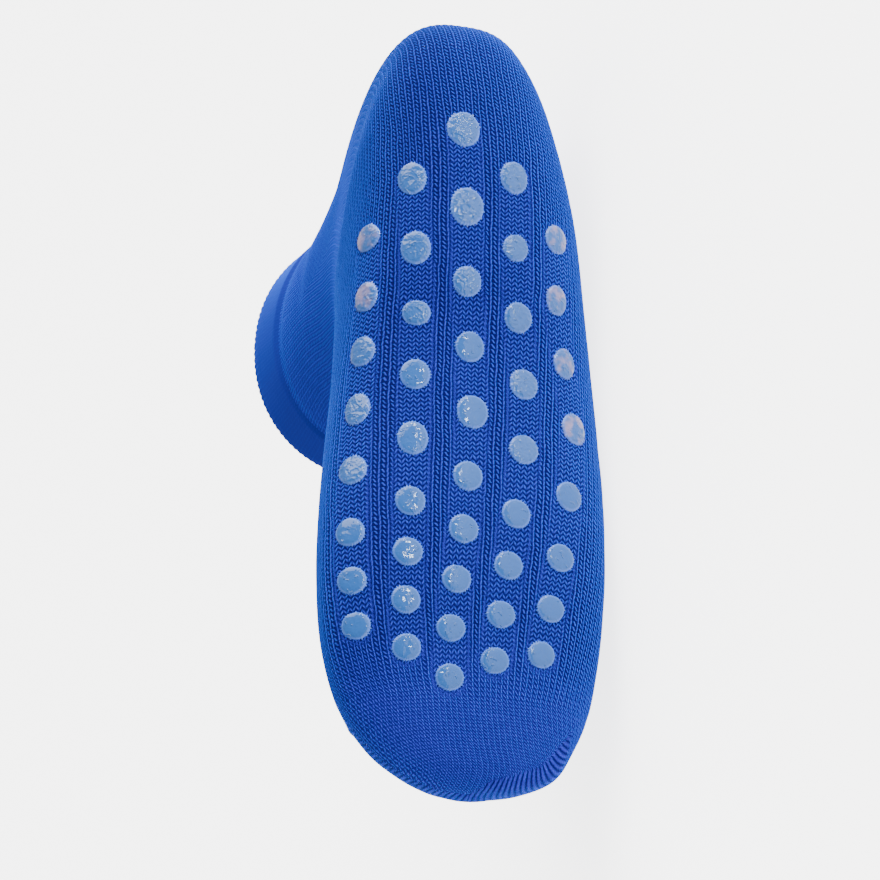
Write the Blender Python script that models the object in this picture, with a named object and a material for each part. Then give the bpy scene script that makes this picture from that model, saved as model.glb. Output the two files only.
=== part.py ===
"""Slipper sock for the left foot, lying on its inner side.

Foot directions: toe (towards the toe tip), up (sole to leg), outer (towards the little toe).
The finished part has -X towards the toe, the sole towards -Y and the outer side towards +Z.
"""
import math
from collections import namedtuple

import bmesh
import bpy
import numpy as np
from mathutils import Matrix, Vector
from mathutils.bvhtree import BVHTree

# Driving sizes, in metres
FOOT_LENGTH = 0.248
BALL_WIDTH = 0.0846
INSTEP_HEIGHT = 0.0642
LEG_HEIGHT = 0.1157
WALL = 0.0015
WELT_HEIGHT = 0.0175
WELT_RISE = 0.0006
GROOVE_WIDTH = 0.0016
GROOVE_DEPTH = 0.0005
SEAM_RISE = 0.0008
SEAM_WIDTH = 0.0034
DOT_DIAMETER = 0.0093
DOT_HEIGHT = 0.0008
DOT_CLEARANCE = 0.0003
FLOOR_PRESS = 0.0012
FLOOR_BLEND = 0.0020

# How finely the surfaces are cut
COLUMNS = 36
RING_POINTS = 288
OUTER_STEP = 0.0058
INNER_STEP = 0.0105
DOT_SIDES = 12
REST_ROUNDS = 12
REST_COLUMNS = 72
REST_RINGS = 12
SOLE_COLUMNS = 144
SOLE_RINGS = 231
SOLE_SECTIONS = (1.0, 12.5)

# Sections from the toe tip over the heel to the rim. Each is a flat ring between a back point
# (sole, heel, Achilles) and a front point (toes, instep, shin).
# back_x, front_x: share of FOOT_LENGTH from the heel's back
# back_h, front_h: height, 0 to 1 up to INSTEP_HEIGHT and 1 to 2 on to LEG_HEIGHT
# outer, inner: half widths as a share of BALL_WIDTH
# back_full, front_full: fullness of the two halves
# widest: place of the widest point between back and front
Section = namedtuple("Section", "name back_x back_h front_x front_h outer inner"
                                " back_full front_full widest")
SECTIONS = (
    Section("toe_tip", 0.997, 0.175, 0.999, 0.263, 0.062, 0.104, 2.20, 2.20, 0.50),
    Section("toe_front", 0.989, 0.117, 0.993, 0.321, 0.132, 0.208, 2.30, 2.20, 0.48),
    Section("toe_bend", 0.970, 0.073, 0.979, 0.372, 0.227, 0.318, 2.40, 2.20, 0.46),
    Section("toes", 0.940, 0.044, 0.954, 0.423, 0.331, 0.376, 2.50, 2.20, 0.42),
    Section("toe_roots", 0.895, 0.018, 0.906, 0.474, 0.427, 0.433, 2.70, 2.20, 0.38),
    Section("ball_front", 0.826, 0.000, 0.830, 0.577, 0.484, 0.476, 2.80, 2.20, 0.35),
    Section("ball", 0.740, 0.000, 0.743, 0.730, 0.496, 0.508, 2.80, 2.15, 0.33),
    Section("ball_back", 0.649, 0.015, 0.664, 0.876, 0.482, 0.523, 2.70, 2.10, 0.34),
    Section("arch", 0.550, 0.051, 0.596, 1.000, 0.454, 0.525, 2.60, 2.10, 0.36),
    Section("waist", 0.452, 0.066, 0.547, 1.118, 0.427, 0.517, 2.60, 2.10, 0.38),
    Section("heel_front", 0.346, 0.029, 0.509, 1.219, 0.409, 0.501, 2.60, 2.10, 0.42),
    Section("heel_pad", 0.207, 0.000, 0.482, 1.291, 0.397, 0.469, 2.60, 2.10, 0.45),
    Section("heel_base", 0.090, 0.015, 0.464, 1.355, 0.389, 0.397, 2.70, 2.10, 0.47),
    Section("heel_corner", 0.028, 0.102, 0.450, 1.410, 0.356, 0.330, 2.80, 2.10, 0.48),
    Section("heel_back", 0.002, 0.292, 0.440, 1.464, 0.355, 0.330, 2.80, 2.10, 0.50),
    Section("heel_top", 0.007, 0.526, 0.432, 1.519, 0.360, 0.345, 2.70, 2.10, 0.50),
    Section("ankle", 0.066, 0.829, 0.435, 1.615, 0.378, 0.355, 2.50, 2.10, 0.50),
    Section("ankle_top", 0.118, 1.162, 0.439, 1.711, 0.425, 0.352, 2.30, 2.10, 0.50),
    Section("leg", 0.142, 1.460, 0.455, 1.807, 0.475, 0.362, 2.20, 2.10, 0.50),
    Section("leg_top", 0.140, 1.690, 0.471, 1.903, 0.513, 0.385, 2.10, 2.10, 0.50),
    Section("rim", 0.136, 1.920, 0.486, 2.000, 0.550, 0.409, 2.10, 2.10, 0.50),
)
# Place of the toe seam between the sections, and how it runs out at the sides of the toes
SEAM_SECTION = 3.55
SEAM_SIDE_START = 0.25
SEAM_SIDE_BLEND = 0.06

# Rings that shape the cuff
# groove rings: place past the groove in GROOVE_WIDTH, share of GROOVE_DEPTH
# welt rings: share of WELT_HEIGHT from the groove to the rim, share of WELT_RISE
GROOVE_RINGS = ((-1.5, 0.0), (-0.6, 1.0), (0.2, 1.0))
WELT_RINGS = ((0.09, 1.0), (0.38, 1.0), (0.64, 1.0), (0.91, 1.0), (1.0, 0.4))

# Columns of grip dots from the outer to the inner side
# heel, waist, arch, ball, toe: share of the way round from the shin over the outer side, at DOT_STATIONS
# places: share of FOOT_LENGTH of each dot from the heel on
DotColumn = namedtuple("DotColumn", "name heel waist arch ball toe places")
DOT_COLUMNS = (
    DotColumn("A", 0.360, 0.352, 0.341, 0.335, 0.333,
              (0.319, 0.398, 0.470, 0.547, 0.628, 0.707, 0.766, 0.819)),
    DotColumn("B", 0.419, 0.418, 0.414, 0.411, 0.400,
              (0.252, 0.343, 0.426, 0.505, 0.588, 0.668, 0.730, 0.787, 0.842)),
    DotColumn("C", 0.479, 0.478, 0.488, 0.481, 0.462,
              (0.184, 0.287, 0.383, 0.465, 0.549, 0.632, 0.698, 0.759, 0.817, 0.873)),
    DotColumn("D", 0.531, 0.538, 0.560, 0.547, 0.532,
              (0.241, 0.333, 0.421, 0.506, 0.591, 0.674, 0.738, 0.797, 0.851)),
    DotColumn("E", 0.588, 0.592, 0.629, 0.617, 0.602,
              (0.309, 0.389, 0.468, 0.552, 0.643, 0.722, 0.785, 0.840)),
)
# Where the shares round the foot hold, along FOOT_LENGTH
DOT_STATIONS = (0.20, 0.38, 0.55, 0.70, 0.86)

# Places that touch the floor, from one section to another, and their part of the ring
REST_ZONES = (
    ("forefoot", 5.5, 8.0),
    ("heel", 9.5, 12.0),
    ("cuff", 19.0, 20.0),
)
REST_RING = (0.62, 0.90)

# Grip dot profile, bottom to top: share of the radius, share of DOT_HEIGHT
DOT_PROFILE = ((0.55, 0.0), (1.0, 0.0), (0.97, 0.50), (0.64, 0.93))

# The closed toe tip and its inside bulge by a share of the wall
TIP_BULGE = 0.6

KNIT_COLOUR = (0.012, 0.080, 0.480, 1.0)
GEL_COLOUR = (0.300, 0.420, 0.620, 1.0)


def height(share):
    """Height above the sole for a share of 0 to 1 up to the instep and 1 to 2 on to the rim."""
    return np.where(share <= 1.0, share * INSTEP_HEIGHT,
                    INSTEP_HEIGHT + (share - 1.0) * (LEG_HEIGHT - INSTEP_HEIGHT))


def section(t):
    """Section at place t, counted in rows of the table and smooth between them."""
    rows = np.array([row[1:] for row in SECTIONS])
    first = min(int(t), len(rows) - 2)
    part = t - first
    here, after = rows[first], rows[first + 1]
    before = rows[first - 1] if first > 0 else 2 * here - after
    beyond = rows[first + 2] if first + 2 < len(rows) else 2 * after - here
    values = 0.5 * (2 * here + (after - before) * part
                    + (2 * before - 5 * here + 4 * after - beyond) * part ** 2
                    + (beyond - before + 3 * (here - after)) * part ** 3)
    return Section("between", *values)


def even_ring(t, count):
    """Ring of points at place t, evenly spaced over the outer and then the inner half."""
    here = section(t)
    angle = np.linspace(0.0, 2.0 * math.pi, RING_POINTS + 1)
    cosine, sine = np.cos(angle), np.sin(angle)
    full = np.where(cosine >= 0.0, here.front_full, here.back_full)
    reach = np.abs(cosine) ** (2.0 / full)
    front = here.widest + (1.0 - here.widest) * reach
    depth = np.where(cosine >= 0.0, front, here.widest * (1.0 - reach))
    side = np.sign(sine) * np.abs(sine) ** (2.0 / full)
    middle = (here.outer - here.inner) / 2.0
    half = (here.outer + here.inner) / 2.0
    low, high = height(np.array([here.back_h, here.front_h]))
    points = np.stack([FOOT_LENGTH * (here.back_x + (here.front_x - here.back_x) * depth),
                       low + (high - low) * depth,
                       BALL_WIDTH * (middle + half * side)], axis=1)
    sides = (points[:RING_POINTS // 2 + 1], points[RING_POINTS // 2:])
    return np.vstack([along(part, np.linspace(0.0, 1.0, count // 2 + 1)[:-1]) for part in sides])


def along(points, shares):
    """Points at the given shares of a polyline's length."""
    steps = np.linalg.norm(np.diff(points, axis=0), axis=1)
    length = np.concatenate([[0.0], np.cumsum(steps)])
    return np.stack([np.interp(shares * length[-1], length, points[:, axis]) for axis in range(3)], axis=1)


def places_by_length():
    """Fine list of places t with the mean length walked from the toe tip to each."""
    places = np.linspace(0.0, len(SECTIONS) - 1.0, 10 * (len(SECTIONS) - 1) + 1)
    rings = np.array([even_ring(t, COLUMNS) for t in places])
    step = np.linalg.norm(np.diff(rings, axis=0), axis=2)
    walked = np.concatenate([[0.0], np.cumsum(0.5 * (step.mean(axis=1) + step.max(axis=1)))])
    return places, walked


def smooth(share):
    """Soft rise from 0 to 1."""
    share = np.clip(share, 0.0, 1.0)
    return share * share * (3.0 - 2.0 * share)


def ring_plan():
    """Places of the outer rings, how far each stands out, and how far its seam does."""
    places, walked = places_by_length()
    groove = walked[-1] - WELT_HEIGHT
    seam = np.interp(SEAM_SECTION, places, walked)
    plain_end = groove + GROOVE_RINGS[0][0] * GROOVE_WIDTH
    plain = np.linspace(0.0, plain_end, int(round(plain_end / OUTER_STEP)) + 1)[:-1]
    plan = [(stop, 0.0, 0.0) for stop in plain if abs(stop - seam) > SEAM_WIDTH]
    plan += [(seam + side * SEAM_WIDTH / 2.0, 0.0, SEAM_RISE * (1 - abs(side))) for side in (-1, 0, 1)]
    plan += [(groove + past * GROOVE_WIDTH, -cut * GROOVE_DEPTH, 0.0) for past, cut in GROOVE_RINGS]
    plan += [(groove + share * WELT_HEIGHT, rise * WELT_RISE, 0.0) for share, rise in WELT_RINGS]
    plan.sort()
    return [(float(np.interp(stop, walked, places)), lift, seam_lift) for stop, lift, seam_lift in plan]


def outward(grid):
    """Unit normals of a grid of rings, pointing out of the sock."""
    around = np.roll(grid, -1, axis=1) - np.roll(grid, 1, axis=1)
    lengthways = np.gradient(grid, axis=0)
    normal = np.cross(around, lengthways)
    normal /= np.linalg.norm(normal, axis=2)[..., None]
    middle = grid.mean(axis=1, keepdims=True)
    if np.mean(np.sum(normal * (grid - middle), axis=2)) < 0.0:
        normal = -normal
    return normal


def to_part(points):
    """Foot directions to the part's axes, before it lies down."""
    return np.stack([-points[..., 0], points[..., 1], points[..., 2]], axis=-1)


class LyingPose:
    """The turn that lays the sock on its inner side, and the floor that presses it flat."""

    def __init__(self):
        zones = [self.zone(first, last) for _, first, last in REST_ZONES]
        up = np.array([0.0, 0.0, 1.0])
        for _ in range(REST_ROUNDS):
            touch = np.array([zone[np.argmin(zone @ up)] for zone in zones])
            up = np.cross(touch[1] - touch[0], touch[2] - touch[0])
            up = up * np.sign(up[2]) / np.linalg.norm(up)
        ahead = np.array([1.0, 0.0, 0.0])
        ahead = ahead - up * (ahead @ up)
        ahead /= np.linalg.norm(ahead)
        self.turn = np.array([ahead, np.cross(up, ahead), up])
        self.floor = float(touch[0] @ up) + FLOOR_PRESS

    @staticmethod
    def zone(first, last):
        """Points of the sock's inner side between two sections."""
        low, high = (int(share * REST_COLUMNS) for share in REST_RING)
        rings = [even_ring(t, REST_COLUMNS)[low:high] for t in np.linspace(first, last, REST_RINGS)]
        return to_part(np.vstack(rings))

    def lay(self, points):
        """Turn points of the sock and press what would sink into the floor flat on it."""
        laid = to_part(points) @ self.turn.T
        high = laid[..., 2] - self.floor
        share = np.clip(high / FLOOR_BLEND, 0.0, 1.0)
        pressed = FLOOR_BLEND * share * share * (2.0 - share)
        laid[..., 2] = np.where(high < FLOOR_BLEND, pressed, high)
        return laid


def clean_start():
    """Remove whatever the file holds."""
    for thing in list(bpy.data.objects):
        bpy.data.objects.remove(thing, do_unlink=True)


def plain_material(name, colour, roughness):
    """A plain surface of one colour."""
    material = bpy.data.materials.new(name)
    material.use_nodes = True
    shader = material.node_tree.nodes["Principled BSDF"]
    shader.inputs["Base Color"].default_value = colour
    shader.inputs["Roughness"].default_value = roughness
    return material


def add_object(name, points, faces, material):
    """Object from points and faces, shaded smooth."""
    mesh = bpy.data.meshes.new(name)
    mesh.from_pydata([tuple(point) for point in points], [], faces)
    mesh.validate()
    built = bmesh.new()
    built.from_mesh(mesh)
    bmesh.ops.recalc_face_normals(built, faces=built.faces)
    built.to_mesh(mesh)
    built.free()
    mesh.polygons.foreach_set("use_smooth", [True] * len(mesh.polygons))
    mesh.materials.append(material)
    thing = bpy.data.objects.new(name, mesh)
    bpy.context.scene.collection.objects.link(thing)
    return thing


def strip_faces(rings, count, close_first, close_last):
    """Quads between rings of points, with a fan to one point where an end is closed."""
    faces = []
    for ring in range(rings - 1):
        for column in range(count):
            after = (column + 1) % count
            faces.append((ring * count + column, ring * count + after,
                          (ring + 1) * count + after, (ring + 1) * count + column))
    last = (rings - 1) * count
    for column in range(count):
        after = (column + 1) % count
        if close_first is not None:
            faces.append((close_first, after, column))
        if close_last is not None:
            faces.append((last + column, last + after, close_last))
    return faces


def sock_rings(pose):
    """Outer rings from the toe tip to the rim and inner rings back, in the part's axes."""
    plan = ring_plan()
    bare = np.array([even_ring(t, COLUMNS) for t, _, _ in plan])
    normal = outward(bare)
    share = np.arange(COLUMNS) / COLUMNS
    on_top = smooth((np.abs(share - 0.5) - SEAM_SIDE_START) / SEAM_SIDE_BLEND)
    lift = np.array([lift + seam_lift * on_top for _, lift, seam_lift in plan])
    outer = pose.lay(bare + normal * lift[..., None])

    places, walked = places_by_length()
    count = int(round(walked[-1] / INNER_STEP))
    inner_places = np.interp(np.linspace(0.6 * INNER_STEP, walked[-1], count), walked, places)
    plain = pose.lay(np.array([even_ring(t, COLUMNS) for t in inner_places]))
    inner = plain - outward(plain) * WALL
    return outer, inner[::-1]


def sock_knit(pose, material):
    """The whole knitted wall, open at the rim."""
    outer, inner = sock_rings(pose)
    rings = np.vstack([outer, inner])
    reach = outer[0].mean(axis=0) - outer[1].mean(axis=0)
    reach /= np.linalg.norm(reach)
    tip = outer[0].mean(axis=0) + reach * TIP_BULGE * WALL
    inner_tip = inner[-1].mean(axis=0) + reach * TIP_BULGE * WALL
    points = np.vstack([rings.reshape(-1, 3), tip, inner_tip])
    faces = strip_faces(len(rings), COLUMNS, len(points) - 2, len(points) - 1)
    return add_object("sock_knit", points, faces, material)


def dot_places(column):
    """Share of the foot length and share round the foot of each of one column's dots."""
    around = (column.heel, column.waist, column.arch, column.ball, column.toe)
    return zip(column.places, np.interp(column.places, DOT_STATIONS, around))


def sole_point(place, around):
    """Point of the plain sock at a share of the foot length on the sole."""
    lines = np.array([even_ring(t, SOLE_COLUMNS) for t in np.linspace(*SOLE_SECTIONS, SOLE_RINGS)])
    column = around * SOLE_COLUMNS
    low = int(column)
    line = lines[:, low] + (lines[:, low + 1] - lines[:, low]) * (column - low)
    return np.array([np.interp(place * FOOT_LENGTH, line[::-1, 0], line[::-1, axis]) for axis in range(3)])


def grip_dot(name, middle, skin, material):
    """A flat drop of gel that follows the knit under it."""
    hit, normal, _, _ = skin.find_nearest(Vector(middle))
    ahead = Vector((-1.0, 0.0, 0.0))
    ahead = (ahead - normal * ahead.dot(normal)).normalized()
    across = normal.cross(ahead)

    def seated(share, angle, rise):
        spot = hit + (ahead * math.cos(angle) + across * math.sin(angle)) * (share * DOT_DIAMETER / 2.0)
        below, _, _, _ = skin.ray_cast(spot + normal * DOT_DIAMETER, -normal)
        return below + normal * (DOT_CLEARANCE + rise * DOT_HEIGHT)

    angles = [2.0 * math.pi * side / DOT_SIDES for side in range(DOT_SIDES)]
    points = [seated(share, angle, rise) for share, rise in DOT_PROFILE for angle in angles]
    points += [seated(0.0, 0.0, 0.0), seated(0.0, 0.0, 1.0)]
    faces = strip_faces(len(DOT_PROFILE), DOT_SIDES, len(points) - 2, len(points) - 1)
    return add_object(name, points, faces, material)


def centre_over_origin(things):
    """Set the middle of all the pieces over the origin, on the floor."""
    corners = np.array([vertex.co for thing in things for vertex in thing.data.vertices])
    low, high = corners.min(axis=0), corners.max(axis=0)
    move = Matrix.Translation((-(low[0] + high[0]) / 2.0, -(low[1] + high[1]) / 2.0, 0.0))
    for thing in things:
        thing.data.transform(move)


def main():
    clean_start()
    knit = plain_material("blue_knit", KNIT_COLOUR, 0.9)
    gel = plain_material("grip_gel", GEL_COLOUR, 0.25)
    pose = LyingPose()
    things = [sock_knit(pose, knit)]
    skin = BVHTree.FromObject(things[0], bpy.context.evaluated_depsgraph_get())
    for column in DOT_COLUMNS:
        for number, (place, around) in enumerate(dot_places(column), start=1):
            middle = pose.lay(sole_point(place, around))
            things.append(grip_dot(f"grip_dot_{column.name}{number}", middle, skin, gel))
    centre_over_origin(things)


main()
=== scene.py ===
"""Knitted slipper sock for the left foot, lying on its inner side, with grip dots on the sole.

Foot directions: toe (towards the toe tip), up (sole to leg), outer (towards the little toe).
In the scene -X is towards the toe, the sole looks towards -Y and the outer side is up.
"""
import math
from collections import namedtuple

import bpy
import numpy as np
from bpy.props import FloatProperty, FloatVectorProperty, IntProperty, PointerProperty
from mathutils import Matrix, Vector
from mathutils.bvhtree import BVHTree


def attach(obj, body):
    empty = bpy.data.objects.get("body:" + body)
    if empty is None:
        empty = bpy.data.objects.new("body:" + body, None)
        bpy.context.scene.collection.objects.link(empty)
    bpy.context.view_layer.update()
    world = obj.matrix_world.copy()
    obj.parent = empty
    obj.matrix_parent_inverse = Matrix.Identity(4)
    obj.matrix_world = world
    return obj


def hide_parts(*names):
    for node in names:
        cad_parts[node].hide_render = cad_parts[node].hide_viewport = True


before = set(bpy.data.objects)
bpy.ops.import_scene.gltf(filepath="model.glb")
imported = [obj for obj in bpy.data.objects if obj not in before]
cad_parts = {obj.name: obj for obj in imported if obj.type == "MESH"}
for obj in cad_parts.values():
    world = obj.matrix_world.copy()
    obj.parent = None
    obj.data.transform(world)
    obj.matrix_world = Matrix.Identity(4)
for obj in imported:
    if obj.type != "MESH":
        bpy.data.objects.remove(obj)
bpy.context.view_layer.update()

bl_info = {
    "name": "Slipper Sock",
    "version": (1, 0, 0),
    "blender": (4, 5, 0),
    "location": "3D View > Sidebar > Slipper Sock",
    "description": "A knitted slipper sock with printed grip dots, on a pale floor",
    "category": "Object",
}

# Sections from the toe tip over the heel to the rim. Each is a flat ring between a back point
# (sole, heel, Achilles) and a front point (toes, instep, shin).
# back_x, front_x: share of the foot length from the heel's back
# back_h, front_h: height, 0 to 1 up to the instep and 1 to 2 on to the rim
# outer, inner: half widths as a share of the ball width
# back_full, front_full: fullness of the two halves
# widest: place of the widest point between back and front
Section = namedtuple("Section", "name back_x back_h front_x front_h outer inner"
                                " back_full front_full widest")
SECTIONS = (
    Section("toe_tip", 0.997, 0.175, 0.999, 0.263, 0.062, 0.104, 2.20, 2.20, 0.50),
    Section("toe_front", 0.989, 0.117, 0.993, 0.321, 0.132, 0.208, 2.30, 2.20, 0.48),
    Section("toe_bend", 0.970, 0.073, 0.979, 0.372, 0.227, 0.318, 2.40, 2.20, 0.46),
    Section("toes", 0.940, 0.044, 0.954, 0.423, 0.331, 0.376, 2.50, 2.20, 0.42),
    Section("toe_roots", 0.895, 0.018, 0.906, 0.474, 0.427, 0.433, 2.70, 2.20, 0.38),
    Section("ball_front", 0.826, 0.000, 0.830, 0.577, 0.484, 0.476, 2.80, 2.20, 0.35),
    Section("ball", 0.740, 0.000, 0.743, 0.730, 0.496, 0.508, 2.80, 2.15, 0.33),
    Section("ball_back", 0.649, 0.015, 0.664, 0.876, 0.482, 0.523, 2.70, 2.10, 0.34),
    Section("arch", 0.550, 0.051, 0.596, 1.000, 0.454, 0.525, 2.60, 2.10, 0.36),
    Section("waist", 0.452, 0.066, 0.547, 1.118, 0.427, 0.517, 2.60, 2.10, 0.38),
    Section("heel_front", 0.346, 0.029, 0.509, 1.219, 0.409, 0.501, 2.60, 2.10, 0.42),
    Section("heel_pad", 0.207, 0.000, 0.482, 1.291, 0.397, 0.469, 2.60, 2.10, 0.45),
    Section("heel_base", 0.090, 0.015, 0.464, 1.355, 0.389, 0.397, 2.70, 2.10, 0.47),
    Section("heel_corner", 0.028, 0.102, 0.450, 1.410, 0.356, 0.330, 2.80, 2.10, 0.48),
    Section("heel_back", 0.002, 0.292, 0.440, 1.464, 0.355, 0.330, 2.80, 2.10, 0.50),
    Section("heel_top", 0.007, 0.526, 0.432, 1.519, 0.360, 0.345, 2.70, 2.10, 0.50),
    Section("ankle", 0.066, 0.829, 0.435, 1.615, 0.378, 0.355, 2.50, 2.10, 0.50),
    Section("ankle_top", 0.118, 1.162, 0.439, 1.711, 0.425, 0.352, 2.30, 2.10, 0.50),
    Section("leg", 0.142, 1.460, 0.455, 1.807, 0.475, 0.362, 2.20, 2.10, 0.50),
    Section("leg_top", 0.140, 1.690, 0.471, 1.903, 0.513, 0.385, 2.10, 2.10, 0.50),
    Section("rim", 0.136, 1.920, 0.486, 2.000, 0.550, 0.409, 2.10, 2.10, 0.50),
)

# How the sock lies: three places on its inner side that touch the floor, their part of the ring, how
# often it is turned until they do, and how many points of each are looked at
REST_ZONES = ((5.5, 8.0), (9.5, 12.0), (19.0, 20.0))
REST_RING = (0.62, 0.90)
REST_ROUNDS = 12
REST_ROWS = 12
REST_COLUMNS = 72
FLOOR_PRESS = 0.0012
FLOOR_BLEND = 0.0020
TO_ORIGIN = (0.124106, -0.058160, 0.0)

# Places of the knitted parts, counted in rows of the section table
TOE_END = 4.0
FOOT_END = 9.0
HEEL_GORE = 14.3
HEEL_END = 17.5
TOE_SEAM = 3.55
TOE_SEAM_SIDE_START = 0.25
TOE_SEAM_SIDE_BLEND = 0.06

# Columns of grip dots from the outer to the inner side
# heel, waist, arch, ball, toe: share of the way round from the shin over the outer side, at DOT_STATIONS
# the next two numbers: the dots from the heel up to the first have a pinkish reflection painted into their
# gel, those up to the second have crinkled gel
# places: share of the foot length of each dot from the heel on
DotColumn = namedtuple("DotColumn", "name heel waist arch ball toe rosy crinkled places")
DOT_COLUMNS = (
    DotColumn("A", 0.360, 0.352, 0.341, 0.335, 0.333, 2, 5,
              (0.319, 0.398, 0.470, 0.547, 0.628, 0.707, 0.766, 0.819)),
    DotColumn("B", 0.419, 0.418, 0.414, 0.411, 0.400, 0, 3,
              (0.252, 0.343, 0.426, 0.505, 0.588, 0.668, 0.730, 0.787, 0.842)),
    DotColumn("C", 0.479, 0.478, 0.488, 0.481, 0.462, 0, 3,
              (0.184, 0.287, 0.383, 0.465, 0.549, 0.632, 0.698, 0.759, 0.817, 0.873)),
    DotColumn("D", 0.531, 0.538, 0.560, 0.547, 0.532, 0, 5,
              (0.241, 0.333, 0.421, 0.506, 0.591, 0.674, 0.738, 0.797, 0.851)),
    DotColumn("E", 0.588, 0.592, 0.629, 0.617, 0.602, 4, 3,
              (0.309, 0.389, 0.468, 0.552, 0.643, 0.722, 0.785, 0.840)),
)
DOT_STATIONS = (0.20, 0.38, 0.55, 0.70, 0.86)

# One round drop of gel, from its edge to its flat top
# inward: width of the step as a share of the radius; up: its height as a share of the rise
DropStep = namedtuple("DropStep", "inward up")
DROP_STEPS = (
    DropStep(0.020, 0.24),
    DropStep(0.035, 0.20),
    DropStep(0.060, 0.19),
    DropStep(0.085, 0.15),
    DropStep(0.150, 0.14),
    DropStep(0.200, 0.06),
    DropStep(0.250, 0.02),
)
DROP_SIDES = 96

# How far the knit has drawn the drops out, at DOT_STATIONS along the sole
DROPS_LONG = (1.26, 1.10, 1.14, 1.00, 0.87)
DROPS_WIDE = (1.03, 1.00, 1.03, 1.00, 0.95)

# Drops that differ from their neighbours, as factors of that
DropSpread = namedtuple("DropSpread", "long wide")
DROP_SPREADS = {
    "grip_dot_A1": DropSpread(0.88, 1.10),
    "grip_dot_A4": DropSpread(1.05, 0.94),
    "grip_dot_B2": DropSpread(1.08, 1.05),
    "grip_dot_B3": DropSpread(0.82, 0.97),
    "grip_dot_B5": DropSpread(1.12, 1.02),
    "grip_dot_C1": DropSpread(1.07, 1.14),
    "grip_dot_C2": DropSpread(1.20, 1.16),
    "grip_dot_C5": DropSpread(1.08, 1.05),
    "grip_dot_D2": DropSpread(0.88, 0.92),
    "grip_dot_E1": DropSpread(0.92, 0.97),
    "grip_dot_E2": DropSpread(1.00, 0.88),
    "grip_dot_E3": DropSpread(0.98, 0.90),
}
PLAIN_SPREAD = DropSpread(1.0, 1.0)

# How deep the gel has sunk into the knit and how far off the knit is looked for (metres), and the edge:
# height of its waves and its spikes as shares of the radius, and every how many sides a spike stands
DROP_SINK = 0.0001
EDGE_WAVE = 0.018
EDGE_SPIKE = 0.14
SPIKE_SIDES = 3
SKIN_SEARCH = 0.006

# The band of ribs that stand square to the toe's edge
# along: way along the edge from the toe tip, inner side positive; deep: depth of the band there (metres)
BAND_ALONG = (-0.055, -0.040, -0.020, 0.000, 0.008, 0.018, 0.026, 0.033, 0.042)
BAND_DEEP = (0.0008, 0.0018, 0.0030, 0.0046, 0.0078, 0.0066, 0.0048, 0.0028, -0.0010)
BAND_INNER = 0.69
BAND_RIB = 0.0017
BAND_BEND = 70.0
BAND_FADE = 0.0012
TIP_SHARES = (0.03, 0.2, 0.4, 0.6, 0.8)
TIP_BULGE = 0.0009

# Soft folds: where the sock bends at the ankle and where the leg sits loose
# place: row of the section table; share, reach: part of the ring and half length as a share of it
# lean: how far the fold runs towards the rim over a whole ring; width, lift: half width and height (metres)
Crease = namedtuple("Crease", "name place share reach lean width lift")
CREASES = (
    Crease("ankle_bend_low", 12.4, 0.985, 0.13, 0.030, 0.0050, -0.0007),
    Crease("ankle_bend_mid", 13.6, 0.020, 0.15, -0.020, 0.0045, -0.0009),
    Crease("ankle_ridge", 14.4, 0.000, 0.16, 0.010, 0.0050, 0.0006),
    Crease("ankle_bend_high", 15.3, 0.960, 0.12, 0.040, 0.0045, -0.0006),
    Crease("heel_tendon", 16.2, 0.480, 0.10, -0.030, 0.0060, -0.0005),
    Crease("leg_outer", 17.3, 0.290, 0.10, 0.060, 0.0055, -0.0005),
)

# Height of one row of stitches along the sock
# place: row of the section table; course: height in metres
COURSE_PLACES = (0.0, 3.5, 5.5, 9.0, 12.5, 15.0, 20.0)
COURSE_HEIGHTS = (0.00120, 0.00122, 0.00148, 0.00150, 0.00138, 0.00130, 0.00140)

# How finely the knit is cut into rings and columns (metres, or counts)
RING_FINENESS = 1440
COARSE_FINENESS = 288
COARSE_COLUMNS = 36
STEPS_PER_SECTION = 10
RING_STEP = 0.0012
SEAM_STEP = 0.0006
GROOVE_STEP = 0.0004
FINE_REACH = 0.003
EDGE_STEP = 0.0001
TINY = 1e-12

# The stitch map: widest wale (metres), rows in its whole height, first row, and jumps that it mends
WALE_WIDTH = 0.00228
COURSE_SPAN = 320.0
FIRST_COURSE = 10.0
WALE_JUMP = 0.7
COURSE_JUMP = 1.4
COURSE_STEP = 0.8

# The wales swing aside between the columns of dots: how far in wales, how many columns past the outer
# ones, and from where to where as shares of the foot length
SWAY = 0.13
SWAY_PAST = 1.4
SWAY_BLEND = 0.6
SWAY_RUN = (0.13, 0.92)
SWAY_FADE = 0.06
SOLE_LINE_END = 12.5
SOLE_END = 13.5

# Kinds of knit: the flat patches between dots (metres), the fine toe and the soft leg (rows of the
# section table; the leg's starts later on the heel's side)
PATCH_REACH = 0.0062
PATCH_BLEND = 0.0022
FINE_END = 5.4
FINE_BLEND = 1.8
SOFT_START = 11.2
SOFT_START_BACK = 3.6
SOFT_BACK_REACH = 0.24
SOFT_BLEND = 3.2

# Relief of the groove, the welt, the rim, the toe seam and the knit round a drop of gel (metres)
GROOVE_DEPTH = 0.0006
GROOVE_BACK = 0.0006
GROOVE_WIDTH = 0.0034
WELT_RISE = 0.0005
WELT_START = 0.0003
WELT_BLEND = 0.0022
RIM_ROUND = 0.0003
RIM_BLEND = 0.0016
RIM_TEETH = 0.00014
RIM_TEETH_REACH = 0.004
SEAM_RISE = 0.0008
SEAM_WIDTH = 0.0017
SOAK_DEPTH = 0.00018
SOAK_REACH = 0.0049
SOAK_WIDTH = 0.0014

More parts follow.
